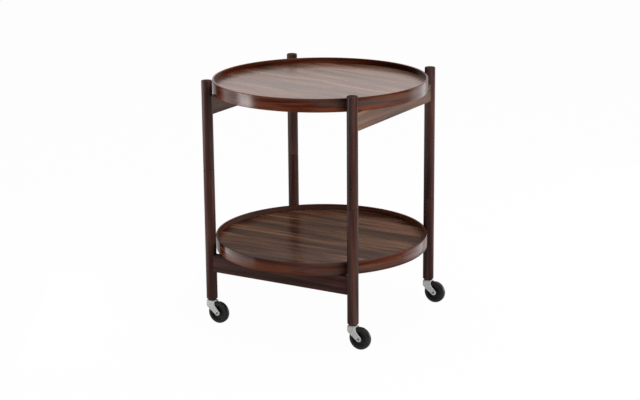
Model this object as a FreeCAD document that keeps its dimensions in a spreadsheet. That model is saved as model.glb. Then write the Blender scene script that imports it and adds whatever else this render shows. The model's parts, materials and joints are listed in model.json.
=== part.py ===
"""Round tray table on castors: two loose round trays on a four-legged frame that folds about its legs.

Millimetres, +Z up. The origin is on the floor under the middle of the table. The lower rails run
along X and the upper rails along Y. Each leg is split at a seam, where its upper half turns on a pin
in its lower half.
"""
import FreeCAD
import Part
import math
import os
import re
import Sketcher

V = FreeCAD.Vector

# Driving dimensions. Heights are measured from the floor.
SIZES = {
    # trays: a bent rim with a panel half way up, whose tongue sits in a groove of the rim
    "tray_diameter": 500,
    "rim_height": 30.5,
    "rim_thickness": 5,
    "rim_edge_round": 1.2,
    "panel_thickness": 4,
    "panel_tongue_thickness": 2,
    "panel_tongue_length": 2.5,
    "panel_clearance": 0.1,
    "upper_tray_height": 541,
    "lower_tray_height": 167.5,
    # legs: turned, with a slight taper from foot to top, on the corners of a square round the trays
    "tray_leg_clearance": 4.8,
    "leg_top_height": 579.5,
    "leg_top_diameter": 25,
    "leg_foot_diameter": 26,
    "leg_top_round": 2,
    "leg_foot_chamfer": 2,
    "left_seam_height": 372,
    "front_seam_height": 325,
    "right_seam_height": 261,
    "back_seam_height": 326,
    "seam_chamfer": 0.6,
    # rails, coped round the legs and held by dowels
    "rail_height": 42,
    "rail_thickness": 16,
    "rail_edge_round": 2,
    "dowel_diameter": 8,
    "dowel_length": 34,
    "dowel_leg_depth": 10,
    "dowel_pitch": 22,
    "dowel_chamfer": 0.8,
    "glue_clearance": 0.05,
    "hole_end_clearance": 0.5,
    # leg pivots
    "pivot_pin_diameter": 10,
    "pivot_pin_engagement": 35,
    "pivot_pin_chamfer": 1,
    "pivot_clearance": 0.05,
    "pivot_washer_thickness": 1,
    "pivot_washer_inset": 1,
    # castors
    "wheel_diameter": 52,
    "tyre_width": 14,
    "tyre_round": 5,
    "tyre_inner_diameter": 36,
    "tyre_ring_depth": 0.5,
    "hub_rim_wall": 3,
    "hub_rim_width": 11,
    "hub_web_thickness": 6,
    "hub_boss_diameter": 13,
    "hub_side_clearance": 0.3,
    "axle_diameter": 5,
    "axle_bore": 3.8,
    "axle_head_diameter": 8,
    "axle_head_thickness": 0.8,
    "axle_clearance": 0.05,
    "castor_trail": 18.5,
    "wheel_top_clearance": 0.6,
    "fork_width": 19,
    "fork_sheet": 1.8,
    "fork_bend_radius": 1.2,
    "fork_lead": 10,
    "fork_lead_drop": 14.4,
    "fork_rear": 11,
    "fork_rear_drop": 11.2,
    "fork_shoulder_round": 9,
    "fork_throat_round": 12,
    "fork_end_radius": 6.5,
    "stem_diameter": 8,
    "stem_length": 34,
    "stem_head_diameter": 11,
    "stem_head_thickness": 1.5,
    "stem_chamfer": 1,
    "socket_wall": 1.5,
    "socket_flange_diameter": 19,
    "socket_flange_thickness": 1,
    "swivel_washer_diameter": 17,
    "swivel_washer_thickness": 1.5,
    "swivel_clearance": 0.1,
}

# Dimensions that follow from the driving ones.
DERIVED = {
    "tray_radius": "tray_diameter / 2",
    "half_span": "(tray_radius + tray_leg_clearance + leg_foot_diameter / 2) / sqrt(2)",
    "axle_height": "wheel_diameter / 2",
    "fork_under": "wheel_diameter + wheel_top_clearance",
    "fork_top": "fork_under + fork_sheet",
    "fork_inside": "fork_width - 2 * fork_sheet",
    "socket_under": "fork_top + swivel_washer_thickness + swivel_clearance",
    "leg_foot_height": "socket_under + socket_flange_thickness",
    "leg_taper": "(leg_foot_diameter - leg_top_diameter) / 2 / (leg_top_height - leg_foot_height)",
    "socket_radius": "stem_diameter / 2 + axle_clearance + socket_wall",
    "socket_top": "fork_top + stem_length + hole_end_clearance",
    "dowel_hole_radius": "dowel_diameter / 2 + glue_clearance",
    "pin_radius": "pivot_pin_diameter / 2",
    "wheel_bore_radius": "axle_diameter / 2 + axle_clearance",
    "tyre_wall_width": "wheel_diameter / 2 - tyre_round - tyre_inner_diameter / 2",
    "tyre_ring_inner": "tyre_inner_diameter / 2 + tyre_wall_width / 4",
    "tyre_ring_outer": "tyre_ring_inner + tyre_wall_width / 2",
}

# Corner of the table that each leg stands on, as the signs of x and y.
LEGS = {
    "left": (-1, -1),
    "front": (1, -1),
    "right": (1, 1),
    "back": (-1, 1),
}

# Each rail: the tier that it belongs to, its turn about Z, and the side of the table that it is on.
RAILS = {
    "lower_front_rail": ("lower", 0, (0, -1)),
    "lower_back_rail": ("lower", 0, (0, 1)),
    "upper_right_rail": ("upper", 90, (1, 0)),
    "upper_left_rail": ("upper", 90, (-1, 0)),
}

doc = FreeCAD.newDocument("TrayTable")
sheet = doc.addObject("Spreadsheet::Sheet", "Sizes")
nodes = []


def fill_sheet():
    """Write the driving dimensions as plain numbers and the others as formulas."""
    formulas = {name: f"={formula}" for name, formula in DERIVED.items()}
    for row, (name, entry) in enumerate({**SIZES, **formulas}.items(), start=1):
        sheet.set(f"A{row}", name)
        sheet.set(f"B{row}", str(entry))
        sheet.setAlias(f"B{row}", name)
    doc.recompute()


def bound(expression):
    """Point each name in an expression at its cell of the sheet."""
    return re.sub(r"[a-z]\w*", lambda word: f"Sizes.{word.group()}", str(expression))


def value(expression):
    """Work out an expression as a number."""
    return float(sheet.evalExpression(bound(expression)))


def bind(item, path, expression):
    """Tie one property of an object to the sheet."""
    item.setExpression(path, bound(expression))


def leg_radius(height):
    """Expression for the radius of the tapered leg at a height."""
    return f"(leg_foot_diameter / 2 - leg_taper * ({height} - leg_foot_height))"


def keep(item, label):
    """Name an object as a sub-part of the table."""
    item.Label = label
    nodes.append(item)
    return item


def place(item, x=0, y=0, z=0, axis=V(0, 0, 1), angle=0):
    """Turn an object, and tie its position to the sheet."""
    item.Placement = FreeCAD.Placement(V(value(x), value(y), value(z)), FreeCAD.Rotation(axis, angle))
    bind(item, ".Placement.Base.x", x)
    bind(item, ".Placement.Base.y", y)
    bind(item, ".Placement.Base.z", z)
    return item


def new_body(label):
    """Start a sub-part made of sketched features."""
    return keep(doc.addObject("PartDesign::Body", label), label)


def new_sketch(body, name, role, offset=0):
    """Attach a sketch to one of the body's own planes, moved along the plane's normal."""
    plane = next(item for item in body.Origin.OriginFeatures if item.Role == role)
    sketch = body.newObject("Sketcher::SketchObject", name)
    sketch.AttachmentSupport = [(plane, "")]
    sketch.MapMode = "FlatFace"
    bind(sketch, "AttachmentOffset.Base.z", offset)
    return sketch


def fix_point(sketch, geometry, position, point):
    """Tie one point of a sketch to the sheet, measured from the sketch's origin."""
    for kind, expression in zip(("DistanceX", "DistanceY"), point):
        rule = Sketcher.Constraint(kind, -1, 1, geometry, position, value(expression))
        bind(sketch, f"Constraints[{sketch.addConstraint(rule)}]", expression)


def fix_radius(sketch, geometry, radius):
    """Tie the radius of a circle or arc to the sheet."""
    rule = Sketcher.Constraint("Radius", geometry, value(radius))
    bind(sketch, f"Constraints[{sketch.addConstraint(rule)}]", radius)


def spot(point):
    """Place of a point of expressions in a sketch."""
    return V(value(point[0]), value(point[1]), 0)


def draw_polygon(sketch, points):
    """Closed outline of straight lines through points given as expressions."""
    spots = [spot(point) for point in points]
    lines = [sketch.addGeometry(Part.LineSegment(a, b)) for a, b in zip(spots, spots[1:] + spots[:1])]
    for line, following in zip(lines, lines[1:] + lines[:1]):
        sketch.addConstraint(Sketcher.Constraint("Coincident", line, 2, following, 1))
    for line, point in zip(lines, points):
        fix_point(sketch, line, 1, point)


def draw_circle(sketch, centre, radius):
    """Circle tied to the sheet by its centre and radius."""
    circle = sketch.addGeometry(Part.Circle(spot(centre), V(0, 0, 1), value(radius)))
    fix_point(sketch, circle, 3, centre)
    fix_radius(sketch, circle, radius)


def edges_where(feature, test):
    """Names of the edges of a feature that pass a test."""
    doc.recompute()
    return [f"Edge{number}" for number, edge in enumerate(feature.Shape.Edges, start=1) if test(edge)]


def round_edges(body, feature, name, radius, test):
    """Fillet the edges of the last feature that pass a test."""
    fillet = body.newObject("PartDesign::Fillet", name)
    fillet.Base = (feature, edges_where(feature, test))
    bind(fillet, "Radius", radius)
    return fillet


def cut_away(body, sketch, name, length, both_sides=False, reverse=False):
    """Pocket a sketch, and make sure that it took material away."""
    before = body.Tip.Shape.Volume
    pocket = body.newObject("PartDesign::Pocket", name)
    pocket.Profile = sketch
    pocket.Midplane = both_sides
    pocket.Reversed = reverse
    bind(pocket, "Length", length)
    doc.recompute()
    if pocket.Shape.Volume >= before:
        raise RuntimeError(f"{body.Label}: {name} cuts nothing")
    return pocket


def turned(label, points):
    """Turned piece: a half section, as radius and height, swept round the body's Z axis."""
    body = new_body(label)
    sketch = new_sketch(body, "HalfSection", "XZ_Plane")
    draw_polygon(sketch, points)
    turning = body.newObject("PartDesign::Revolution", "Turning")
    turning.Profile = sketch
    turning.ReferenceAxis = (sketch, ["V_Axis"])
    turning.Angle = 360
    doc.recompute()
    return body


def ring_edge(radius, height):
    """Test for a circular edge of a turned piece."""
    def test(edge):
        circle = edge.Curve
        same_radius = hasattr(circle, "Radius") and abs(circle.Radius - value(radius)) < 1e-4
        return same_radius and abs(circle.Center.z - value(height)) < 1e-4
    return test


def any_of(*tests):
    """Test that passes where one of several does."""
    return lambda edge: any(test(edge) for test in tests)


def make_tray(tier):
    """Rim with its groove and rounded edges, and the panel whose tongue the groove holds."""
    low = f"{tier}_tray_height"
    top = f"{low} + rim_height"
    middle = f"{low} + rim_height / 2"
    inner = "tray_radius - rim_thickness"
    groove = f"{inner} + panel_tongue_length"
    tongue_half = "panel_tongue_thickness / 2"
    rim = turned(f"{tier}_tray_rim", [
        (inner, low),
        ("tray_radius", low),
        ("tray_radius", top),
        (inner, top),
        (inner, f"{middle} + {tongue_half} + panel_clearance"),
        (groove, f"{middle} + {tongue_half} + panel_clearance"),
        (groove, f"{middle} - {tongue_half} - panel_clearance"),
        (inner, f"{middle} - {tongue_half} - panel_clearance"),
    ])
    corners = [ring_edge(radius, height) for radius in (inner, "tray_radius") for height in (low, top)]
    round_edges(rim, rim.Tip, "RimEdges", "rim_edge_round", any_of(*corners))
    edge = f"{inner} - panel_clearance"
    reach = f"{groove} - panel_clearance"
    turned(f"{tier}_tray_panel", [
        (0, f"{middle} - panel_thickness / 2"),
        (edge, f"{middle} - panel_thickness / 2"),
        (edge, f"{middle} - {tongue_half}"),
        (reach, f"{middle} - {tongue_half}"),
        (reach, f"{middle} + {tongue_half}"),
        (edge, f"{middle} + {tongue_half}"),
        (edge, f"{middle} + panel_thickness / 2"),
        (0, f"{middle} + panel_thickness / 2"),
    ])


def rail_middle(tier):
    """Expression for the middle height of a tier's rails, whose tops carry the tray."""
    return f"{tier}_tray_height - rail_height / 2"


def dowel_heights(tier):
    """Expressions for the heights of the two dowels in each end of a rail."""
    return [f"{rail_middle(tier)} + {side} * dowel_pitch / 2" for side in (-1, 1)]


def drill_dowel_holes(body, tier, start, name):
    """Two dowel holes along +X from a distance along X."""
    sketch = new_sketch(body, f"{name}Plan", "YZ_Plane", start)
    for height in dowel_heights(tier):
        draw_circle(sketch, (0, height), "dowel_hole_radius")
    return cut_away(body, sketch, name, "dowel_length + 2 * hole_end_clearance", reverse=True)


def dowel_start(tier):
    """Expression for the distance from the leg's axis to the dowel's inner end."""
    return f"{leg_radius(rail_middle(tier))} - dowel_leg_depth"


def leg_placement(body, corner, tier):
    """Stand a leg half on its corner, with its dowel holes towards its rail."""
    along_x, along_y = LEGS[corner]
    turn = {"upper": -90 * along_y, "lower": 90 + 90 * along_x}[tier]
    return place(body, f"{along_x} * half_span", f"{along_y} * half_span", angle=turn)


def make_lower_leg(corner):
    """Lower leg half, bored for the castor socket below and the pivot pin above."""
    top = f"({corner}_seam_height - pivot_washer_thickness / 2)"
    pin_hole = "pin_radius + glue_clearance"
    pin_end = f"{top} - pivot_pin_engagement - hole_end_clearance"
    socket_hole = "socket_radius + glue_clearance"
    socket_end = "socket_top + socket_wall + glue_clearance"
    foot_shoulder = "(leg_foot_height + leg_foot_chamfer)"
    seam_shoulder = f"({top} - seam_chamfer)"
    body = turned(f"{corner}_leg_lower", [
        (socket_hole, "leg_foot_height"),
        ("leg_foot_diameter / 2 - leg_foot_chamfer", "leg_foot_height"),
        (leg_radius(foot_shoulder), foot_shoulder),
        (leg_radius(seam_shoulder), seam_shoulder),
        (f"{leg_radius(top)} - seam_chamfer", top),
        (pin_hole, top),
        (pin_hole, pin_end),
        (0, pin_end),
        (0, socket_end),
        (socket_hole, socket_end),
    ])
    drill_dowel_holes(body, "lower", f"{dowel_start('lower')} - hole_end_clearance", "DowelHoles")
    return leg_placement(body, corner, "lower")


def make_upper_leg(corner):
    """Upper leg half, bored to turn on the pivot pin, with a rounded top."""
    low = f"({corner}_seam_height + pivot_washer_thickness / 2)"
    pin_hole = "pin_radius + pivot_clearance"
    pin_end = f"{low} + pivot_pin_engagement + hole_end_clearance"
    seam_shoulder = f"({low} + seam_chamfer)"
    body = turned(f"{corner}_leg_upper", [
        (pin_hole, low),
        (f"{leg_radius(low)} - seam_chamfer", low),
        (leg_radius(seam_shoulder), seam_shoulder),
        ("leg_top_diameter / 2", "leg_top_height"),
        (0, "leg_top_height"),
        (0, pin_end),
        (pin_hole, pin_end),
    ])
    rim = ring_edge("leg_top_diameter / 2", "leg_top_height")
    round_edges(body, body.Tip, "TopEdge", "leg_top_round", rim)
    doc.recompute()
    drill_dowel_holes(body, "upper", f"{dowel_start('upper')} - hole_end_clearance", "DowelHoles")
    return leg_placement(body, corner, "upper")


def make_pivot(corner):
    """Pin glued into the lower leg half, and the washer between the two halves."""
    along_x, along_y = LEGS[corner]
    seam = f"{corner}_seam_height"
    reach = "(pivot_washer_thickness / 2 + pivot_pin_engagement)"
    shank = f"({reach} - pivot_pin_chamfer)"
    tip = "pin_radius - pivot_pin_chamfer"
    pin = turned(f"{corner}_pivot_pin", [
        (0, f"-{reach}"),
        (tip, f"-{reach}"),
        ("pin_radius", f"-{shank}"),
        ("pin_radius", shank),
        (tip, reach),
        (0, reach),
    ])
    bore = "pin_radius + pivot_clearance"
    edge = f"{leg_radius(seam)} - pivot_washer_inset"
    washer = turned(f"{corner}_pivot_washer", [
        (bore, "-pivot_washer_thickness / 2"),
        (edge, "-pivot_washer_thickness / 2"),
        (edge, "pivot_washer_thickness / 2"),
        (bore, "pivot_washer_thickness / 2"),
    ])
    for piece in (pin, washer):
        place(piece, f"{along_x} * half_span", f"{along_y} * half_span", seam)


def draw_rail_plan(sketch, cope):
    """Plan of a rail along X: two straight sides, and ends coped round the legs."""
    half = "rail_thickness / 2"
    side = value(half)
    lean = math.asin(side / value(cope))
    reach = value("half_span") - value(cope) * math.cos(lean)
    near = sketch.addGeometry(Part.LineSegment(V(-reach, -side, 0), V(reach, -side, 0)))
    far = sketch.addGeometry(Part.LineSegment(V(reach, side, 0), V(-reach, side, 0)))
    right_circle = Part.Circle(V(value("half_span"), 0, 0), V(0, 0, 1), value(cope))
    left_circle = Part.Circle(V(-value("half_span"), 0, 0), V(0, 0, 1), value(cope))
    right = sketch.addGeometry(Part.ArcOfCircle(right_circle, math.pi - lean, math.pi + lean))
    left = sketch.addGeometry(Part.ArcOfCircle(left_circle, -lean, lean))
    joints = ((near, 2, right, 2), (right, 1, far, 1), (far, 2, left, 2), (left, 1, near, 1))
    for joint in joints:
        sketch.addConstraint(Sketcher.Constraint("Coincident", *joint))
    for line, height in ((near, f"-{half}"), (far, half)):
        sketch.addConstraint(Sketcher.Constraint("Horizontal", line))
        rule = Sketcher.Constraint("DistanceY", -1, 1, line, 1, value(height))
        bind(sketch, f"Constraints[{sketch.addConstraint(rule)}]", height)
    for arc, sign in ((right, 1), (left, -1)):
        fix_point(sketch, arc, 3, (f"{sign} * half_span", 0))
        fix_radius(sketch, arc, cope)


def make_rail(label):
    """Rail padded from its plan, with softened long edges and dowel holes in both ends."""
    tier, turn, side = RAILS[label]
    low = f"{tier}_tray_height - rail_height"
    body = new_body(label)
    plan = new_sketch(body, "Plan", "XY_Plane", low)
    draw_rail_plan(plan, f"{leg_radius(f'({low})')} + glue_clearance")
    pad = body.newObject("PartDesign::Pad", "Board")
    pad.Profile = plan
    bind(pad, "Length", "rail_height")
    long_edge = value("half_span")
    round_edges(body, pad, "LongEdges", "rail_edge_round", lambda edge: edge.Length > long_edge)
    doc.recompute()
    hole_end = f"half_span - ({dowel_start(tier)} + dowel_length + hole_end_clearance)"
    holes = drill_dowel_holes(body, tier, hole_end, "DowelHoles")
    mirror = body.newObject("PartDesign::Mirrored", "OtherEnd")
    mirror.Originals = [holes]
    plane = next(item for item in body.Origin.OriginFeatures if item.Role == "YZ_Plane")
    mirror.MirrorPlane = (plane, [""])
    body.Tip = mirror
    place(body, f"{side[0]} * half_span", f"{side[1]} * half_span", angle=turn)


def make_dowels(label):
    """The four dowels of one rail, as a group."""
    tier, turn, side = RAILS[label]
    dowels = []
    for end in (-1, 1):
        for height in dowel_heights(tier):
            shank = doc.addObject("Part::Cylinder", "DowelShank")
            bind(shank, "Radius", "dowel_diameter / 2")
            bind(shank, "Height", "dowel_length")
            start = f"{end} * (half_span - ({dowel_start(tier)}))"
            place(shank, start, 0, height, axis=V(0, 1, 0), angle=-90 * end)
            doc.recompute()
            dowel = doc.addObject("Part::Chamfer", "Dowel")
            dowel.Base = shank
            chamfer = value("dowel_chamfer")
            circles = [number for number, edge in enumerate(shank.Shape.Edges, start=1) if edge.Closed]
            dowel.Edges = [(number, chamfer, chamfer) for number in circles]
            dowels.append(dowel)
    group = keep(doc.addObject("Part::Compound", f"{label}_dowels"), f"{label}_dowels")
    group.Links = dowels
    place(group, f"{side[0]} * half_span", f"{side[1]} * half_span", angle=turn)


def make_socket(corner):
    """Steel sleeve in the foot of a leg, with a flange under the leg and a closed top."""
    bore = "stem_diameter / 2 + axle_clearance"
    return turned(f"{corner}_castor_socket", [
        (bore, "socket_under"),
        ("socket_flange_diameter / 2", "socket_under"),
        ("socket_flange_diameter / 2", "leg_foot_height"),
        ("socket_radius", "leg_foot_height"),
        ("socket_radius", "socket_top + socket_wall"),
        (0, "socket_top + socket_wall"),
        (0, "socket_top"),
        (bore, "socket_top"),
    ])


def make_swivel_washer(corner):
    """Thrust washer that lies on the fork and turns under the socket's flange."""
    bore = "stem_diameter / 2 + axle_clearance"
    edge = "swivel_washer_diameter / 2"
    top = "fork_top + swivel_washer_thickness"
    return turned(f"{corner}_castor_washer", [(bore, "fork_top"), (edge, "fork_top"), (edge, top), (bore, top)])


def make_stem(corner):
    """Stem riveted through the fork, with its head under the fork."""
    radius = "stem_diameter / 2"
    tip = "fork_top + stem_length"
    return turned(f"{corner}_castor_stem", [
        (0, "fork_under - stem_head_thickness"),
        ("stem_head_diameter / 2", "fork_under - stem_head_thickness"),
        ("stem_head_diameter / 2", "fork_under"),
        (radius, "fork_under"),
        (radius, f"{tip} - stem_chamfer"),
        (f"{radius} - stem_chamfer", tip),
        (0, tip),
    ])


def draw_fork_side(sketch):
    """Side outline of the fork: a level top, and an arm that slants back to a round end at the axle."""
    lead_top = ("-fork_lead", "fork_top")
    rear_top = ("fork_rear", "fork_top")
    throat = ("fork_rear", "fork_top - fork_rear_drop")
    shoulder = ("-fork_lead", "fork_top - fork_lead_drop")
    axle = spot(("castor_trail", "axle_height"))
    radius = value("fork_end_radius")

    def touch(point, side):
        """Angle on the arm's round end where the line from a point touches it."""
        away = spot(point) - axle
        return math.atan2(away.y, away.x) + side * math.acos(radius / away.Length)

    rear_angle = touch(throat, -1)
    lead_angle = touch(shoulder, 1)
    on_end = [axle + V(math.cos(turn), math.sin(turn), 0) * radius for turn in (rear_angle, lead_angle)]
    runs = (
        (spot(lead_top), spot(rear_top)),
        (spot(rear_top), spot(throat)),
        (spot(throat), on_end[0]),
        (on_end[1], spot(shoulder)),
        (spot(shoulder), spot(lead_top)),
    )
    top, rear, rear_arm, lead_arm, lead = [sketch.addGeometry(Part.LineSegment(*run)) for run in runs]
    circle = Part.Circle(axle, V(0, 0, 1), radius)
    end = sketch.addGeometry(Part.ArcOfCircle(circle, lead_angle, rear_angle + 2 * math.pi))
    for joint in ((top, 2, rear, 1), (rear, 2, rear_arm, 1), (lead_arm, 2, lead, 1), (lead, 2, top, 1)):
        sketch.addConstraint(Sketcher.Constraint("Coincident", *joint))
    sketch.addConstraint(Sketcher.Constraint("Tangent", rear_arm, 2, end, 2))
    sketch.addConstraint(Sketcher.Constraint("Tangent", lead_arm, 1, end, 1))
    for line, point in ((top, lead_top), (rear, rear_top), (rear_arm, throat), (lead, shoulder)):
        fix_point(sketch, line, 1, point)
    fix_point(sketch, end, 3, ("castor_trail", "axle_height"))
    fix_radius(sketch, end, "fork_end_radius")


def make_fork(corner):
    """Fork bent from sheet: padded from its side outline, hollowed between the arms and pierced."""
    body = new_body(f"{corner}_castor_fork")
    outline = new_sketch(body, "SideOutline", "XZ_Plane")
    draw_fork_side(outline)
    pad = body.newObject("PartDesign::Pad", "Blank")
    pad.Profile = outline
    pad.Midplane = True
    bind(pad, "Length", "fork_width")
    bend = "fork_bend_radius + fork_sheet"

    def across_at(point):
        """Test for an edge across the fork at a corner of its side outline."""
        def test(edge):
            middle = edge.CenterOfMass
            return abs(middle.y) < 1e-4 and (V(middle.x, middle.z, 0) - spot(point)).Length < 1e-3
        return test

    def along_top(edge):
        """Edges along both sides of the level top."""
        box = edge.BoundBox
        return box.ZMin > value("fork_top") - 1e-4 and box.YLength < 1e-4

    shoulder = across_at(("-fork_lead", "fork_top - fork_lead_drop"))
    throat = across_at(("fork_rear", "fork_top - fork_rear_drop"))
    soft_shoulder = round_edges(body, pad, "Shoulder", "fork_shoulder_round", shoulder)
    soft_throat = round_edges(body, soft_shoulder, "Throat", "fork_throat_round", throat)
    bent = round_edges(body, soft_throat, "OuterBends", bend, along_top)
    doc.recompute()
    gap = new_sketch(body, "Gap", "YZ_Plane")
    side = "fork_inside / 2"
    draw_polygon(gap, [(f"-{side}", 0), (side, 0), (side, "fork_under"), (f"-{side}", "fork_under")])
    hollow = cut_away(body, gap, "Hollow", "2 * (castor_trail + fork_lead + fork_end_radius)", both_sides=True)

    def inside_corner(edge):
        """Edges where the underside of the top meets the arms."""
        box = edge.BoundBox
        level = abs(box.ZMin - value("fork_under")) < 1e-4 and box.ZLength < 1e-4
        return level and box.YLength < 1e-4

    round_edges(body, hollow, "InnerBends", "fork_bend_radius", inside_corner)
    doc.recompute()
    stem_hole = new_sketch(body, "StemHole", "XY_Plane", "fork_under")
    draw_circle(stem_hole, (0, 0), "stem_diameter / 2 + axle_clearance")
    cut_away(body, stem_hole, "StemPiercing", "fork_sheet", reverse=True)
    axle_hole = new_sketch(body, "AxleHole", "XZ_Plane")
    draw_circle(axle_hole, ("castor_trail", "axle_height"), "wheel_bore_radius")
    cut_away(body, axle_hole, "AxlePiercing", "fork_width", both_sides=True)
    return body


def make_axle(corner):
    """Hollow rivet through the fork and the wheel."""
    inner = "axle_bore / 2"
    radius = "axle_diameter / 2"
    head = "axle_head_diameter / 2"
    half = "fork_width / 2"
    end = "(fork_width / 2 + axle_head_thickness)"
    return turned(f"{corner}_castor_axle", [
        (inner, f"-{end}"),
        (head, f"-{end}"),
        (head, f"-{half}"),
        (radius, f"-{half}"),
        (radius, half),
        (head, half),
        (head, end),
        (inner, end),
    ])


def make_hub(corner):
    """Wheel centre: boss, recessed web and the rim that carries the tyre."""
    boss = "hub_boss_diameter / 2"
    rim = "tyre_inner_diameter / 2 - glue_clearance"
    well = f"{rim} - hub_rim_wall"
    boss_half = "(fork_inside / 2 - hub_side_clearance)"
    web_half = "hub_web_thickness / 2"
    rim_half = "hub_rim_width / 2"
    upper = [
        ("wheel_bore_radius", boss_half),
        (boss, boss_half),
        (boss, web_half),
        (well, web_half),
        (well, rim_half),
        (rim, rim_half),
    ]
    lower = [(radius, f"-{height}") for radius, height in reversed(upper)]
    return turned(f"{corner}_wheel_hub", upper + lower)


def make_tyre(corner):
    """Tyre with well rounded shoulders and a shallow moulded ring in each side wall."""
    inner = "tyre_inner_diameter / 2"
    outer = "wheel_diameter / 2"
    half = "tyre_width / 2"
    ring_floor = "(tyre_width / 2 - tyre_ring_depth)"
    upper = [
        (outer, half),
        ("tyre_ring_outer", half),
        ("tyre_ring_outer", ring_floor),
        ("tyre_ring_inner", ring_floor),
        ("tyre_ring_inner", half),
        (inner, half),
    ]
    lower = [(radius, f"-{height}") for radius, height in reversed(upper)]
    body = turned(f"{corner}_wheel_tyre", upper + lower)
    shoulders = any_of(ring_edge(outer, f"-{half}"), ring_edge(outer, half))
    round_edges(body, body.Tip, "Shoulders", "tyre_round", shoulders)
    return body


def make_castor(corner):
    """One castor: its socket in the leg, the swivelling fork with its stem, and the wheel."""
    along_x, along_y = LEGS[corner]
    leg_x = f"{along_x} * half_span"
    leg_y = f"{along_y} * half_span"
    for make in (make_socket, make_swivel_washer, make_stem, make_fork):
        place(make(corner), leg_x, leg_y)
    for make in (make_axle, make_hub, make_tyre):
        place(make(corner), f"{leg_x} + castor_trail", leg_y, "axle_height", axis=V(1, 0, 0), angle=-90)


def check_document():
    """Stop if any object failed or any sub-part is not a sound solid."""
    doc.recompute()
    for item in doc.Objects:
        if {"Invalid", "Error"} & set(item.State):
            raise RuntimeError(f"{item.Label} failed: {item.State}")
    for node in nodes:
        if node.Shape.isNull() or not node.Shape.isValid() or not node.Shape.Solids:
            raise RuntimeError(f"{node.Label} is not a sound solid")


def write_parts():
    """Write each sub-part to its own file."""
    os.makedirs("parts", exist_ok=True)
    for node in nodes:
        node.Shape.exportStep(os.path.join("parts", f"{node.Label}.step"))


fill_sheet()
for tier in ("upper", "lower"):
    make_tray(tier)
for corner in LEGS:
    make_lower_leg(corner)
    make_upper_leg(corner)
    make_pivot(corner)
    make_castor(corner)
for label in RAILS:
    make_rail(label)
    make_dowels(label)
check_document()
write_parts()
print(len(nodes), "sub-parts")
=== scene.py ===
"""Finish of the round tray table: stained wood frame and trays, zinc castor forks, black wheels.

The file is laid out as an add-on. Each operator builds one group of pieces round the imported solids, and
main() runs the operators in order. Lengths are in metres, in the frame of the solids.
"""
import json
import math

import bmesh
import bpy
import numpy as np
from mathutils import Matrix, Vector


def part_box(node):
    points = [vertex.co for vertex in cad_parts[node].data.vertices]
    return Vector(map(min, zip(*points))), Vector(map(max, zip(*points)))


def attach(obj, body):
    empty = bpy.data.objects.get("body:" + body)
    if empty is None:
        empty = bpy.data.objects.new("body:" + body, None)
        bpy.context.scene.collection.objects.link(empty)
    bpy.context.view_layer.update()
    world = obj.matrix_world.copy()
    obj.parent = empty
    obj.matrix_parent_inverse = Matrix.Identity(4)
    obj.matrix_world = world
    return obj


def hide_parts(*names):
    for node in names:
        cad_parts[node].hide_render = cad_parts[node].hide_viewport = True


bl_info = {
    "name": "Tray Table Finish",
    "version": (1, 0, 0),
    "blender": (4, 5, 0),
    "location": "View3D > Sidebar > Tray Table",
    "description": "Builds the visible pieces of a round tray table on castors",
    "category": "Object",
}

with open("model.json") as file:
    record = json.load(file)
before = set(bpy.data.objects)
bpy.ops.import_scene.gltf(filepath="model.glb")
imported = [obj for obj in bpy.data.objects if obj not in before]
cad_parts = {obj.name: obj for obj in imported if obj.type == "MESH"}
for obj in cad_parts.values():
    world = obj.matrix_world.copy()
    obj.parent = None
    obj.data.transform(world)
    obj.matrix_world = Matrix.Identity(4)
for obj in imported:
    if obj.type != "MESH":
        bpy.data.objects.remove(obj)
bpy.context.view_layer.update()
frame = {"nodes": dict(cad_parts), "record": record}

MM = 0.001
WELD = 1e-6
SHARP_ANGLE = math.radians(40)
BEVEL_ANGLE = math.radians(50)
EASE_STEPS = 6
# Steps of the turned pieces in a full turn.
LEG_STEPS = 56
SMALL_RING_STEPS = 48
TRAY_STEPS = 256
HUB_STEPS = 72
TYRE_STEPS = 96
RIVET_STEPS = 40
# Points of a rail along and across it, and of a fork up an arm, round a bend, across and in its round ends.
RAIL_LENGTH_POINTS = 25
RAIL_END_POINTS = 9
ARM_POINTS = 16
BEND_POINTS = 7
ACROSS_POINTS = 9
ARM_END_POINTS = 24
HOLE_RING_POINTS = 4
# Waves per metre of the patterns in the finishes. Those in wood count across the grain.
BANDS = 29
STREAKS = 78
FIBRES = 360
PORES = 800
SMOKY_BANDS = 38
VEINS = 150
CLOUDS = 160
SCRATCHES = 2600
DUST = 70
MOULD_GRAIN = 1500
BUMP_HEIGHT = 0.0002
# Knot in the front leg: its place and its half sizes.
KNOT = ((0.1907, -0.2020, 0.3727), (0.008, 0.007, 0.005))
FLOOR_REACH = 30
FLOOR_DROP = 0.0002
FLOOR_GREY = (0.6, 0.6, 0.6, 1)
# Near black for the painted shade in the rivets' bores, and for grease on worn metal edges.
BORE_SHADE_AND_GREASE = (0.01, 0.01, 0.01, 1)
# The soft light from above fades in between these upward parts of a direction.
SKY_EDGE = (0.45, 0.72)
LEGS = ("left", "front", "right", "back")
LOWER_RAILS = ("lower_front_rail", "lower_back_rail")
UPPER_RAILS = ("upper_right_rail", "upper_left_rail")
TIERS = ("upper", "lower")
WHITE = (1, 1, 1)
PALE = (1, 0.9, 0.88)
WARM = (1, 0.66, 0.47)
# The fill light is narrow, so that it lights the upper tray and not the inside of the lower one.
OPEN = math.radians(180)
NARROW = math.radians(50)
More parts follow.
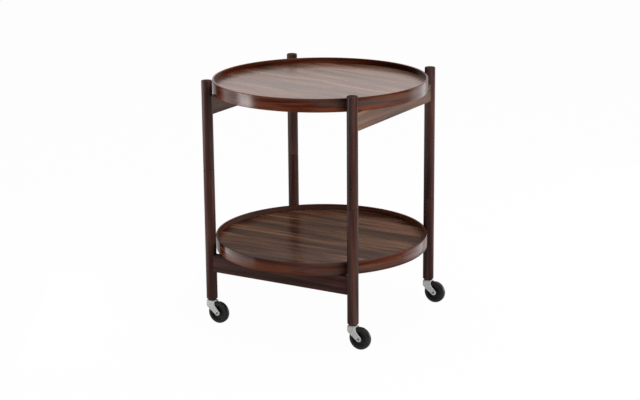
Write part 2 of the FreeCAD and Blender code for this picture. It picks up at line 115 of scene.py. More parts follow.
# Each light: place, width and height, height on the table's axis that it points at, colour and spread.
LIGHTS = {
    "key": ((3.084, -0.4, 1.05), (2.0, 2.0), 0.3, WHITE, OPEN),
    "fill": ((-1.19, -0.97, 0.28), (0.5, 0.28), 0.66, WHITE, NARROW),
    "wash": ((-1.44, -0.42, 0.3), (0.6, 0.34), 0.3, WHITE, OPEN),
    "top": ((0, 0, 2.2), (1.2, 1.2), 0.5, WHITE, OPEN),
    "side": ((0.75, 1.5, 0.27), (1.15, 0.5), 0.27, WHITE, OPEN),
    "back": ((-0.626, 1.081, 1.04), (1.7, 0.6), 1.04, PALE, OPEN),
    "low_back": ((-0.63, 1.09, 0.56), (1.7, 0.3), 0.56, WARM, OPEN),
    "left_card": ((-0.58, -0.36, 0.04), (0.6, 0.08), 0.04, WHITE, OPEN),
    "right_card": ((0.47, 0.45, 0.04), (0.45, 0.08), 0.04, WHITE, OPEN),
}
# The key light is left out of reflections, because it would burn out the ends of the rims.
NOT_MIRRORED = ("key",)
BODY_OF = {node: body for body, nodes in frame["record"]["behaviour"]["bodies"].items() for node in nodes}


def length(name, millimetres, description):
    """Length property with its default in millimetres."""
    return bpy.props.FloatProperty(
        name=name, description=description, default=millimetres * MM, min=0, unit="LENGTH", precision=4)


def colour(name, rgb, description):
    """Colour property with its default as linear red, green and blue."""
    return bpy.props.FloatVectorProperty(
        name=name, description=description, default=rgb, min=0, max=1, subtype="COLOR")


def power(name, watts, description):
    """Power of a light, with its default in watts."""
    return bpy.props.FloatProperty(
        name=name, description=description, default=watts, min=0, unit="POWER", precision=3)


def amount(name, default, description):
    """Plain number property that can't be negative."""
    return bpy.props.FloatProperty(name=name, description=description, default=default, min=0)


class TrayTableWoodwork(bpy.types.PropertyGroup):
    """Sizes of the wooden pieces that their boxes don't give."""
    leg_top: length("Leg top", 25, "Diameter of a leg at its top")
    leg_foot: length("Leg foot", 26, "Diameter of a leg at its foot")
    leg_top_round: length("Top rounding", 2, "Rounding of a leg's top edge")
    foot_chamfer: length("Foot chamfer", 2, "Chamfer round a leg's foot")
    seam_chamfer: length("Seam chamfer", 0.6, "Chamfer on both sides of a leg's seam")
    pin_hole: length("Pin hole", 10.1, "Diameter of the hole for the pivot pin")
    pin_depth: length("Pin depth", 35.5, "Depth of the hole for the pivot pin in each leg half")
    socket_hole: length("Socket hole", 11.2, "Diameter of the hole for the castor socket")
    socket_depth: length("Socket depth", 33.5, "Depth of the hole for the castor socket")
    rail_round: length("Rail rounding", 2, "Rounding of a rail's long edges")
    rim_wall: length("Rim wall", 5, "Thickness of a tray's rim")
    rim_round: length("Rim rounding", 1.2, "Rounding of a rim's edges")
    groove_depth: length("Groove depth", 2.5, "Depth of the groove that holds the panel")
    groove_height: length("Groove height", 2.2, "Height of the groove that holds the panel")
    panel_gap: length("Panel gap", 0.1, "Gap between the panel and the rim")


class TrayTableCastors(bpy.types.PropertyGroup):
    """Sizes of the castors that their boxes don't give."""
    trail: length("Trail", 18.5, "Distance of the axle behind the swivel")
    sheet: length("Sheet", 1.8, "Thickness of the fork's sheet")
    bend: length("Bend", 1.2, "Inside radius of the fork's bends")
    edge: length("Sheet edge", 0.35, "Rounding of the sheet's cut edges")
    lead: length("Lead", 10, "Reach of the fork in front of the swivel")
    lead_drop: length("Lead drop", 14.4, "Depth of the fork's shoulder under its top")
    rear: length("Rear", 11, "Reach of the fork's top behind the swivel")
    rear_drop: length("Rear drop", 11.2, "Depth of the fork's throat under its top")
    shoulder: length("Shoulder", 9, "Rounding of the fork's shoulder")
    throat: length("Throat", 12, "Rounding of the fork's throat")
    arm_end: length("Arm end", 6.5, "Radius of the arms' round ends")
    rivet: length("Rivet", 5, "Diameter of the hollow rivet that is the axle")
    rivet_bore: length("Rivet bore", 3.8, "Bore of the hollow rivet")
    rivet_head: length("Rivet head", 0.8, "Thickness of the rivet's rolled heads")
    stem_hole: length("Stem hole", 8.1, "Hole for the stem in the washers and the socket")
    flange: length("Flange", 1, "Thickness of the socket's flange")
    socket: length("Socket", 11.1, "Outside diameter of the socket's sleeve")
    socket_wall: length("Socket wall", 1.5, "Wall of the socket")
    hub_wall: length("Hub wall", 3, "Wall of the wheel centre's rim")
    hub_web: length("Hub web", 6, "Thickness of the wheel centre's web")
    hub_width: length("Hub width", 11, "Width of the wheel centre's rim")
    hub_boss: length("Hub boss", 13, "Diameter of the wheel centre's boss")
    axle_hole: length("Axle hole", 5.1, "Hole for the rivet in the arms and the wheel centre")
    tyre_inside: length("Tyre inside", 36, "Inside diameter of the tyre")
    tyre_round: length("Tyre rounding", 5, "Rounding of the tyre's shoulders")
    tyre_ring: length("Tyre ring", 0.5, "Depth of the ring in each side wall of the tyre")


class TrayTableFinishes(bpy.types.PropertyGroup):
    """Colours of the finishes."""
    leg_dark: colour("Leg dark", (0.012, 0.005, 0.005), "Dark streaks of the legs and lower rails")
    leg_middle: colour("Leg middle", (0.037, 0.0145, 0.0115), "Main tone of the legs and lower rails")
    leg_light: colour("Leg light", (0.072, 0.029, 0.019), "Light streaks of the legs and lower rails")
    # The upper rails' tones are lighter versions of the legs' wood: painted light, standing in for the key
    # light that falls on the upper right rail.
    lit_rail_dark: colour("Rail dark", (0.030, 0.012, 0.006), "Dark streaks of the upper rails")
    lit_rail_middle: colour("Rail middle", (0.070, 0.030, 0.015), "Main tone of the upper rails")
    lit_rail_light: colour("Rail light", (0.120, 0.055, 0.030), "Light streaks of the upper rails")
    rim_dark: colour("Rim dark", (0.016, 0.0035, 0.0016), "Dark streaks of the rims")
    rim_middle: colour("Rim middle", (0.049, 0.0098, 0.0041), "Main tone of the rims")
    rim_light: colour("Rim light", (0.104, 0.027, 0.0105), "Light streaks of the rims")
    veneer_dark: colour("Veneer dark", (0.029, 0.0112, 0.0065), "Dark streaks of the tray panels")
    veneer_middle: colour("Veneer middle", (0.096, 0.0384, 0.020), "Main tone of the tray panels")
    veneer_light: colour("Veneer light", (0.175, 0.0864, 0.0486), "Light streaks of the tray panels")
    smoke: colour("Smoke", (0.045, 0.031, 0.026), "Grey brown of the smoky bands in the frame and rims")
    veneer_smoke: colour("Veneer smoke", (0.0666, 0.036, 0.0231), "Grey brown of the bands in the trays")
    dowel: colour("Dowel", (0.52, 0.36, 0.21), "Bare beech of the dowels")
    zinc: colour("Zinc", (0.50, 0.50, 0.485), "Zinc plate of the forks and rivets")
    steel: colour("Steel", (0.45, 0.45, 0.46), "Turned steel of the pins and stems")
    black: colour("Black", (0.006, 0.006, 0.0065), "Tyres, wheel centres, washers and sockets")


class TrayTableStage(bpy.types.PropertyGroup):
    """Camera, lights and floor."""
    camera_place: bpy.props.FloatVectorProperty(
        name="Camera", description="Place of the camera", default=(1.94052, -3.35591, 1.33109),
        subtype="TRANSLATION", unit="LENGTH")
    camera_turn: bpy.props.FloatVectorProperty(
        name="Camera heading", description="Pitch from level, roll and heading of the camera",
        default=(math.radians(-15.226), math.radians(-0.493), math.radians(30.081)), subtype="EULER",
        unit="ROTATION")
    lens: bpy.props.FloatProperty(
        name="Lens", description="Focal length of the camera", default=95.68, min=1, unit="CAMERA")
    key_power: power("Key light", 128, "Power of the large light on the right")
    fill_power: power("Fill light", 1.45, "Power of the low, narrow light on the left")
    wash_power: power("Wash light", 2.3, "Power of the weak light beside the fill light")
    top_power: power("Top light", 8.5, "Power of the light above the table")
    side_power: power("Side light", 4.5, "Power of the low light behind on the right")
    back_power: power("Back light", 4.2, "Power of the light behind the table")
    low_back_power: power("Low back light", 0.62, "Power of the light in the lower tray's sheen")
    left_card_power: power("Left card", 0.75, "Power of the bounce card on the left")
    right_card_power: power("Right card", 0.3, "Power of the bounce card on the right")
    sky: amount("Sky", 1.1, "Brightness of the soft light from above")
    room: amount("Room", 0.1, "Brightness of the room below that light")
    floor_glow: bpy.props.FloatProperty(
        name="Floor white", description="Share of plain white in the floor, the rest keeps shadows",
        default=0.97, min=0, max=1, subtype="FACTOR")
    mirror_glow: bpy.props.FloatProperty(
        name="Mirrored white", description="Share of plain white in the floor that reflections show",
        default=0.3, min=0, max=1, subtype="FACTOR")


def rounded(corners, cuts, closed=False):
    """Profile with eased corners, as points and as wear, which is 1 in the middle of each easing.

    A corner P with cut c becomes the curve (1-u)^2 (P + c a) + 2u(1-u) P + u^2 (P + c b) for u from 0 to 1,
    where a and b are unit vectors to the corners before and after it.
    """
    corners = np.asarray(corners, float)
    cuts = np.asarray(cuts, float)
    before = np.roll(corners, 1, axis=0) - corners
    after = np.roll(corners, -1, axis=0) - corners
    before /= np.linalg.norm(before, axis=1, keepdims=True)
    after /= np.linalg.norm(after, axis=1, keepdims=True)
    u = np.linspace(0, 1, EASE_STEPS + 1)[None, :, None]
    cut = cuts[:, None, None]
    middle = corners[:, None, :]
    start = middle + cut * before[:, None, :]
    end = middle + cut * after[:, None, :]
    points = ((1 - u) ** 2 * start + 2 * u * (1 - u) * middle + u ** 2 * end).reshape(-1, 2)
    wear = (4 * u * (1 - u) * (cut > 0)).reshape(-1)
    if closed:
        points = np.vstack([points, points[:1]])
        wear = np.append(wear, wear[0])
    fresh = np.append(True, np.any(np.abs(np.diff(points, axis=0)) > WELD, axis=1))
    return points[fresh], wear[fresh]


def turned(profile, steps, centre, axis="Z"):
    """Surface of revolution: a profile point at radius r and distance h along the axis goes round to
    (r cos a, r sin a, h), for angles a of a full turn. The axis is Z, or Y with h along Y."""
    angle = np.linspace(0, 2 * np.pi, steps + 1)
    radius = profile[:, :1]
    across = radius * np.cos(angle)
    round_about = radius * np.sin(angle)
    along = np.broadcast_to(profile[:, 1:], across.shape)
    order = {"Z": (across, round_about, along), "Y": (across, along, round_about)}[axis]
    return np.stack(order, axis=-1) + np.asarray(centre)


def skin(name, grids, wear=None):
    """Mesh object from grids of points: points next to each other in a grid make quads, and points in
    the same place are welded, which closes seams, poles and the joins between grids."""
    points = np.concatenate([grid.reshape(-1, 3) for grid in grids])
    starts = np.cumsum([0] + [grid.shape[0] * grid.shape[1] for grid in grids])
    faces = []
    for grid, start in zip(grids, starts):
        rows, columns = grid.shape[:2]
        index = start + np.arange(rows * columns).reshape(rows, columns)
        quads = (index[:-1, :-1], index[:-1, 1:], index[1:, 1:], index[1:, :-1])
        faces.append(np.stack(quads, axis=-1).reshape(-1, 4))
    mesh = bpy.data.meshes.new(name)
    mesh.from_pydata(points.tolist(), [], np.concatenate(faces).tolist())
    worn = mesh.attributes.new("wear", "FLOAT", "POINT")
    if wear is not None:
        worn.data.foreach_set("value", np.concatenate([part.reshape(-1) for part in wear]))
    shape = bmesh.new()
    shape.from_mesh(mesh)
    bmesh.ops.remove_doubles(shape, verts=shape.verts, dist=WELD)
    bmesh.ops.recalc_face_normals(shape, faces=shape.faces)
    shape.to_mesh(mesh)
    shape.free()
    mesh.shade_smooth()
    mesh.set_sharp_from_angle(angle=SHARP_ANGLE)
    piece = bpy.data.objects.new(name, mesh)
    bpy.context.scene.collection.objects.link(piece)
    return piece


def turned_piece(name, corners, cuts, steps, centre, axis="Z", closed=False, end_grain=False):
    """Turned piece with eased corners: the eased profile, swept round its axis. Its flat ends are marked as
    end grain with a wear of -1."""
    profile, wear = rounded(corners, cuts, closed)
    if end_grain:
        along = profile[:, 1]
        wear = np.where(np.isclose(along, along.min()) | np.isclose(along, along.max()), -1, wear)
    grid = turned(profile, steps, centre, axis)
    return skin(name, [grid], [np.repeat(wear[:, None], steps + 1, axis=1)])


def both_sides(upper, cuts):
    """Corners and cuts of a closed profile: one half, then its mirror image in the middle plane."""
    lower = [(radius, -along) for radius, along in reversed(upper)]
    return upper + lower, cuts + cuts[::-1]


def stand_for(piece, node, material):
    """Put a piece in the place of a node: on the same body and with its own material, and hide the node."""
    piece.data.materials.append(material)
    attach(piece, BODY_OF[node])
    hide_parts(node)


def middle_of(node):
    """Lowest corner, highest corner and middle of a node, as arrays."""
    low, high = (np.array(corner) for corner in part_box(node))
    return low, high, (low + high) / 2


def lay_washer(node, hole, material):
    """Flat ring with eased outer edges, in the box of its node and round a hole of a diameter."""
    low, high, middle = middle_of(node)
    outer = high[0] - middle[0]
    bore = hole / 2
    ease = (high[2] - low[2]) / 4
    corners = [(bore, low[2]), (outer, low[2]), (outer, high[2]), (bore, high[2])]
    centre = (middle[0], middle[1], 0)
    piece = turned_piece(f"{node}_ring", corners, [0, ease, ease, 0], SMALL_RING_STEPS, centre, closed=True)
    stand_for(piece, node, material)


class Wire:
    """Value in a shader. Arithmetic on it adds Math nodes to its finish."""

    def __init__(self, finish, socket):
        self.finish = finish
        self.socket = socket

    def math(self, operation, first, second):
        return self.finish.node("ShaderNodeMath", {"operation": operation}, {0: first, 1: second})

    def __add__(self, other):
        return self.math("ADD", self, other)

    __radd__ = __add__

    def __mul__(self, other):
        return self.math("MULTIPLY", self, other)

    __rmul__ = __mul__

    def __sub__(self, other):
        return self.math("SUBTRACT", self, other)

    def __rsub__(self, other):
        return self.math("SUBTRACT", other, self)

    def at_most(self, other):
        return self.math("MINIMUM", self, other)


class Finish:
    """Shader under construction, on a material or on the world."""

    def __init__(self, owner):
        self.owner = owner
        owner.use_nodes = True
        self.tree = owner.node_tree
        self.tree.nodes.clear()

    def node(self, kind, settings=None, inputs=None, output=0):
        """Add a node: its settings first, then its inputs, and give back one output as a Wire."""
        item = self.tree.nodes.new(kind)
        for key, setting in (settings or {}).items():
            if key == "stops":
                self.set_stops(item.color_ramp, setting)
            else:
                setattr(item, key, setting)
        for key, entry in (inputs or {}).items():
            if isinstance(entry, Wire):
                self.tree.links.new(entry.socket, item.inputs[key])
            else:
                item.inputs[key].default_value = entry
        return Wire(self, item.outputs[output]) if len(item.outputs) else item

    @staticmethod
    def set_stops(ramp, stops):
        """Set a ramp's stops, each a position and a linear colour."""
        for _ in range(len(stops) - len(ramp.elements)):
            ramp.elements.new(0.5)
        for element, (position, rgb) in zip(ramp.elements, stops):
            element.position = position
            element.color = (*rgb, 1)

    def place(self, scale=(1, 1, 1), shift=(0, 0, 0), turn=(0, 0, 0)):
        """Object coordinates, first turned, then scaled and shifted."""
        spot = self.node("ShaderNodeTexCoord", output="Object")
        if any(turn):
            spot = self.node("ShaderNodeMapping", {}, {"Vector": spot, "Rotation": turn})
        return self.node("ShaderNodeMapping", {}, {"Vector": spot, "Scale": scale, "Location": shift})

    def noise(self, spot, scale, detail=2, rough=0.5, distortion=0):
        """Soft random pattern between 0 and 1."""
        return self.node("ShaderNodeTexNoise", {}, {
            "Vector": spot, "Scale": scale, "Detail": detail, "Roughness": rough, "Distortion": distortion})

    def fade(self, value, low, high):
        """Smooth step from 0 at low to 1 at high."""
        return self.node("ShaderNodeMapRange", {"interpolation_type": "SMOOTHSTEP"}, {
            "Value": value, "From Min": low, "From Max": high})

    def mix(self, factor, first, second):
        """Blend of two colours."""
        return self.node("ShaderNodeMix", {"data_type": "RGBA"}, {0: factor, 6: first, 7: second}, output=2)

    def bump(self, strength, height):
        """Slight relief of the surface."""
        return self.node("ShaderNodeBump", {}, {
            "Strength": strength, "Distance": BUMP_HEIGHT, "Height": height})

    def surface(self, inputs):
        """End the material in one Principled shader."""
        shader = self.node("ShaderNodeBsdfPrincipled", {}, inputs)
        self.node("ShaderNodeOutputMaterial", {}, {"Surface": shader})
        return self.owner


def new_finish(name):
    """Start a material."""
    return Finish(bpy.data.materials.new(name))


def wood(name, tones, smoke, grain, shift, gloss, shine, turn=(0, 0, 0), fine=1, contrast=0.12,
         smokiness=0.5, relief=0.05, knots=()):
    """Stained wood under satin lacquer.

    Object coordinates are squeezed along the grain, so that soft noise becomes long streaks: bands of about
    35 mm, streaks of about 13 mm and fibres of about 3 mm, each divided by fine. Their sum picks a tone from
    dark to light. A second set of bands turns some of it smoky, thin veins and pores darken it, worn edges
    are lighter, and end grain, where wear is below 0, is dark and dull.
    """
    finish = new_finish(name)
    dark, middle, light = (tuple(tone) for tone in tones)
    spot = finish.place(grain, shift, turn)
    bands = finish.noise(spot, BANDS * fine, rough=0.55, distortion=0.6)
    streaks = finish.noise(spot, STREAKS * fine, detail=3, rough=0.55, distortion=0.3)
    fibres = finish.noise(spot, FIBRES * fine, detail=3, rough=0.6)
    pores = finish.fade(finish.noise(spot, PORES, detail=1), 0.61, 0.74)
    tone = finish.fade(0.5 * bands + 0.42 * streaks + 0.08 * fibres, 0.5 - contrast, 0.5 + contrast)
    for knot_place, knot_size in knots:
        scale = tuple(1 / size for size in knot_size)
        flat = finish.place(scale, tuple(-place / size for place, size in zip(knot_place, knot_size)))
        distance = finish.node("ShaderNodeVectorMath", {"operation": "LENGTH"}, {0: flat}, output="Value")
        halo = finish.fade(distance, 0.5, 0.8) * (1 - finish.fade(distance, 0.9, 1.5))
        tone = tone * finish.fade(distance, 0.3, 0.6) + 0.15 * halo
    tint = finish.node("ShaderNodeValToRGB", {"stops": [
        (0.04, dark), (0.45, middle), (0.62, middle), (0.98, light)]}, {0: tone})
    elsewhere = finish.place(grain, tuple(3 * part + 1 for part in shift), turn)
    smoky = finish.fade(finish.noise(elsewhere, SMOKY_BANDS * fine, distortion=0.5), 0.48, 0.64)
    tint = finish.mix(smokiness * smoky, tint, (*smoke, 1))
    veins = finish.fade(finish.noise(elsewhere, VEINS * fine, distortion=0.4), 0.56, 0.7)
    tint = finish.mix((0.5 * veins + 0.2 * pores).at_most(0.6), tint, (*dark, 1))
    worn = finish.node("ShaderNodeAttribute", {"attribute_name": "wear"}, output="Fac")
    tint = finish.mix(worn * finish.fade(streaks, 0.3, 0.7) * 0.6, tint, (*light, 1))
    end_grain = finish.fade(0 - worn, 0, 1)
    tint = finish.mix(0.8 * end_grain, tint, (*dark, 1))
    return finish.surface({
        "Base Color": tint,
        "Roughness": gloss + 0.1 * (fibres - 0.5) + 0.06 * pores + 0.35 * end_grain,
        "Specular IOR Level": shine,
        "Normal": finish.bump(relief, fibres - 0.5 * pores),
    })


def metal(name, rgb, metallic, rough):
    """Plated or turned metal: cloudy tone, fine scratches in the roughness and a slight grain. Where the mesh
    is
    marked as worn it is near black: painted shade in the rivets' bores, and dark grease on other eased edges."""
    finish = new_finish(name)
    clouds = finish.noise(finish.place(), CLOUDS, detail=3, rough=0.6)
    scratches = finish.noise(finish.place((1, 1, 0.08)), SCRATCHES, rough=0.6)
    darker = tuple(0.94 * part for part in rgb)
    tint = finish.mix(finish.fade(clouds, 0.3, 0.7), (*darker, 1), (*rgb, 1))
    shade_and_grease = finish.node("ShaderNodeAttribute", {"attribute_name": "wear"}, output="Fac")
    # Painted shade in the rivets' bores, and grease elsewhere, where the mesh is marked as worn.
    tint = finish.mix(0.96 * shade_and_grease, tint, BORE_SHADE_AND_GREASE)
    return finish.surface({
        "Base Color": tint,
        "Metallic": metallic,
        "Roughness": rough + 0.06 * (clouds - 0.5) + 0.06 * (scratches - 0.5),
        "Normal": finish.bump(0.03, scratches),
    })


def moulded(name, rgb, rough, grey, shine=0.22):
    """Moulded rubber or plastic: a slightly dusty black with a fine grain."""
    finish = new_finish(name)
    spot = finish.place()
    dust = finish.fade(finish.noise(spot, DUST, detail=4, rough=0.65), 0.42, 0.8)
    grain = finish.noise(spot, MOULD_GRAIN)
    tint = finish.mix(dust * 0.55, (*rgb, 1), (*grey, 1))
    return finish.surface({
        "Base Color": tint,
        "Roughness": rough + 0.2 * (grain - 0.5) + 0.12 * dust,
        "Specular IOR Level": shine,
        "Normal": finish.bump(0.1, grain),
    })


class TRAYTABLE_OT_legs(bpy.types.Operator):
    """Turn the eight leg halves and the washers in their seams"""
    bl_idname = "traytable.legs"
    bl_label = "Legs"

    def execute(self, context):
        sizes = context.scene.tray_table_woodwork
        colours = context.scene.tray_table_finishes
        tones = (colours.leg_dark, colours.leg_middle, colours.leg_light)
        look = {"grain": (1, 1, 0.045), "gloss": 0.42, "shine": 0.07, "fine": 1.6, "contrast": 0.17}
        upper_wood = wood("leg_wood_upper", tones, colours.smoke, shift=(3.1, 0.7, 0.2), knots=[KNOT], **look)
        lower_wood = wood("leg_wood_lower", tones, colours.smoke, shift=(7.4, 2.3, 1.9), **look)
        washer_black = moulded("pivot_washer_black", colours.black, rough=0.6, grey=(0.03, 0.03, 0.03))
        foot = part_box("left_leg_lower")[0].z
        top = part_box("left_leg_upper")[1].z

        def radius(height):
            """Leg radius at a height, in a straight taper from the foot to the top."""
            share = (height - foot) / (top - foot)
            return (sizes.leg_foot + (sizes.leg_top - sizes.leg_foot) * share) / 2

        for leg in LEGS:
            self.turn_upper(f"{leg}_leg_upper", sizes, radius, upper_wood)
            self.turn_lower(f"{leg}_leg_lower", sizes, radius, lower_wood)
            lay_washer(f"{leg}_pivot_washer", sizes.pin_hole, washer_black)
        return {"FINISHED"}

    @staticmethod
    def turn_upper(node, sizes, radius, material):
        """Upper half: bored for the pin, eased at the seam, rounded at the top."""
        low, high, middle = middle_of(node)
        bore = sizes.pin_hole / 2
        chamfer = sizes.seam_chamfer
        bore_end = low[2] + sizes.pin_depth
        corners = [
            (0, bore_end), (bore, bore_end), (bore, low[2]), (radius(low[2]) - chamfer, low[2]),
            (radius(low[2] + chamfer), low[2] + chamfer), (radius(high[2]), high[2]), (0, high[2])]
        cuts = [0, 0, 0, chamfer / 3, chamfer / 3, sizes.leg_top_round, 0]
        centre = (middle[0], middle[1], 0)
        piece = turned_piece(f"{node}_turned", corners, cuts, LEG_STEPS, centre, end_grain=True)
        stand_for(piece, node, material)

    @staticmethod
    def turn_lower(node, sizes, radius, material):
        """Lower half: bored for the pin above and the socket below, chamfered at the foot."""
        low, high, middle = middle_of(node)
        bore = sizes.pin_hole / 2
        socket = sizes.socket_hole / 2
        chamfer = sizes.seam_chamfer
        foot = sizes.foot_chamfer
        bore_end = high[2] - sizes.pin_depth
        socket_end = low[2] + sizes.socket_depth
        corners = [
            (0, bore_end), (bore, bore_end), (bore, high[2]), (radius(high[2]) - chamfer, high[2]),
            (radius(high[2] - chamfer), high[2] - chamfer), (radius(low[2] + foot), low[2] + foot),
            (sizes.leg_foot / 2 - foot, low[2]), (socket, low[2]), (socket, socket_end), (0, socket_end)]
        cuts = [0, 0, 0, chamfer / 3, chamfer / 3, foot / 4, foot / 4, 0, 0, 0]
        centre = (middle[0], middle[1], 0)
        piece = turned_piece(f"{node}_turned", corners, cuts, LEG_STEPS, centre, end_grain=True)
        stand_for(piece, node, material)


class TRAYTABLE_OT_rails(bpy.types.Operator):
    """Shape the four rails, with softened edges and ends coped round the legs"""
    bl_idname = "traytable.rails"
    bl_label = "Rails"

    def execute(self, context):
        sizes = context.scene.tray_table_woodwork
        colours = context.scene.tray_table_finishes
        leg_tones = (colours.leg_dark, colours.leg_middle, colours.leg_light)
        # Painted light: the lower rails are the legs' wood made 1.25 times lighter, and the upper rails have
        # lighter tones still, for the light that falls on each.
        lighter = 1.25
        lit_lower_tones = [tuple(lighter * part for part in tone) for tone in leg_tones]
        lit_upper_tones = (colours.lit_rail_dark, colours.lit_rail_middle, colours.lit_rail_light)
        along_x = wood("rail_wood_lower", lit_lower_tones, colours.smoke, grain=(0.05, 1, 1),
                       shift=(1.3, 4.4, 2.2), gloss=0.4, shine=0.06)
        along_y = wood("rail_wood_upper", lit_upper_tones, colours.smoke, grain=(1, 0.05, 1),
                       shift=(5.6, 1.1, 3.7), gloss=0.4, shine=0.08)
        for rail in LOWER_RAILS:
            self.shape_rail(rail, sizes, along_x, along=0)
        for rail in UPPER_RAILS:
            self.shape_rail(rail, sizes, along_y, along=1)
        return {"FINISHED"}

    @staticmethod
    def shape_rail(node, sizes, material, along):
        """Rail: an eased rectangle of half width w(z) carried along the rail, whose ends stop at
        span - sqrt(cope^2 - y^2), the circle that the end is coped to round the leg's axis."""
        low, high, middle = middle_of(node)
        across = 1 - along
        half = (high[across] - low[across]) / 2
        span = abs(middle_of("front_leg_lower")[2][along])
        longest = high[along]
        cope = math.hypot(span - longest, half)
        corners = [(0, low[2]), (half, low[2]), (half, high[2]), (0, high[2])]
        outline, wear = rounded(corners, [0, sizes.rail_round, sizes.rail_round, 0])
        width, height = outline[1:-1, :1], outline[1:-1, 1:]
        end_y = width * np.linspace(-1, 1, RAIL_END_POINTS)
        end_z = np.broadcast_to(height, end_y.shape)
        end_wear = np.broadcast_to(wear[1:-1, None], end_y.shape)

        def ring(grid):
            """Border of a grid, once round and closed."""
            return np.concatenate([grid[0], grid[1:, -1], grid[-1, -2::-1], grid[-2::-1, 0]])

        def stop(y):
            """Reach of the rail at a distance y from its middle line."""
            return span - np.sqrt(cope ** 2 - y ** 2)

        ring_y, ring_z, ring_wear = ring(end_y), ring(end_z), ring(end_wear)
        side_x = np.linspace(-1, 1, RAIL_LENGTH_POINTS)[:, None] * stop(ring_y)
        sides = (side_x, np.broadcast_to(ring_y, side_x.shape), np.broadcast_to(ring_z, side_x.shape))
        ends = [(sign * stop(end_y), end_y, end_z) for sign in (-1, 1)]
        place = np.zeros(3)
        place[across] = middle[across]
        grids = []
        for lengthways, sideways, upright in [sides] + ends:
            order = (lengthways, sideways) if along == 0 else (sideways, lengthways)
            grids.append(np.stack((*order, upright), axis=-1) + place)
        wears = [np.broadcast_to(ring_wear, side_x.shape), end_wear, end_wear]
        stand_for(skin(f"{node}_board", grids, wears), node, material)


class TRAYTABLE_OT_trays(bpy.types.Operator):
    """Bend the rims and lay the panels of the two trays"""
    bl_idname = "traytable.trays"
    bl_label = "Trays"

    def execute(self, context):
        sizes = context.scene.tray_table_woodwork
        colours = context.scene.tray_table_finishes
        rim_tones = (colours.rim_dark, colours.rim_middle, colours.rim_light)
        veneer_tones = (colours.veneer_dark, colours.veneer_middle, colours.veneer_light)
        rim_wood = wood("rim_wood", rim_tones, colours.smoke, grain=(0.05, 0.05, 1), shift=(6.1, 0.5, 5.0),
                        gloss=0.2, shine=0.08, fine=1.5, contrast=0.11, smokiness=0.7)
        shifts = {"upper": (6.3, 4.0, 7.2), "lower": (6.1, 1.7, 2.5)}
        turns = {"upper": math.radians(10), "lower": 0}
        glosses = {"upper": 0.28, "lower": 0.26}
        shines = {"upper": 0.42, "lower": 0.05}
        for tier in TIERS:
            veneer = wood(f"{tier}_tray_veneer", veneer_tones, colours.veneer_smoke, grain=(0.075, 1, 1),
                          shift=shifts[tier], gloss=glosses[tier], shine=shines[tier],
                          turn=(0, 0, turns[tier]), contrast=0.1, relief=0.02)
            self.bend_rim(f"{tier}_tray_rim", sizes, rim_wood)
            self.lay_panel(f"{tier}_tray_panel", f"{tier}_tray_rim", sizes, veneer)
        return {"FINISHED"}

    @staticmethod
    def bend_rim(node, sizes, material):
        """Rim: an eased upright section with a groove in its inner side, carried round the tray."""
        low, high, middle = middle_of(node)
        outer = high[0]
        inner = outer - sizes.rim_wall
        groove = inner + sizes.groove_depth
        groove_low = middle[2] - sizes.groove_height / 2
        groove_high = middle[2] + sizes.groove_height / 2
        corners = [
            (inner, low[2]), (outer, low[2]), (outer, high[2]), (inner, high[2]),
            (inner, groove_high), (groove, groove_high), (groove, groove_low), (inner, groove_low)]
        cuts = [sizes.rim_round] * 4 + [0] * 4
        piece = turned_piece(f"{node}_bent", corners, cuts, TRAY_STEPS, (0, 0, 0), closed=True)
        stand_for(piece, node, material)

    @staticmethod
    def lay_panel(node, rim, sizes, material):
        """Panel: a flat disc whose tongue sits in the groove of the rim."""
        low, high, middle = middle_of(node)
        edge = middle_of(rim)[1][0] - sizes.rim_wall - sizes.panel_gap
        reach = edge + sizes.groove_depth
        tongue = sizes.groove_height / 2 - sizes.panel_gap
        tongue_low = middle[2] - tongue
        tongue_high = middle[2] + tongue
        corners = [
            (0, low[2]), (edge, low[2]), (edge, tongue_low), (reach, tongue_low),
            (reach, tongue_high), (edge, tongue_high), (edge, high[2]), (0, high[2])]
        ease = sizes.panel_gap
        cuts = [0, ease, 0, 0, 0, 0, ease, 0]
        piece = turned_piece(f"{node}_disc", corners, cuts, TRAY_STEPS, (0, 0, 0))
        stand_for(piece, node, material)


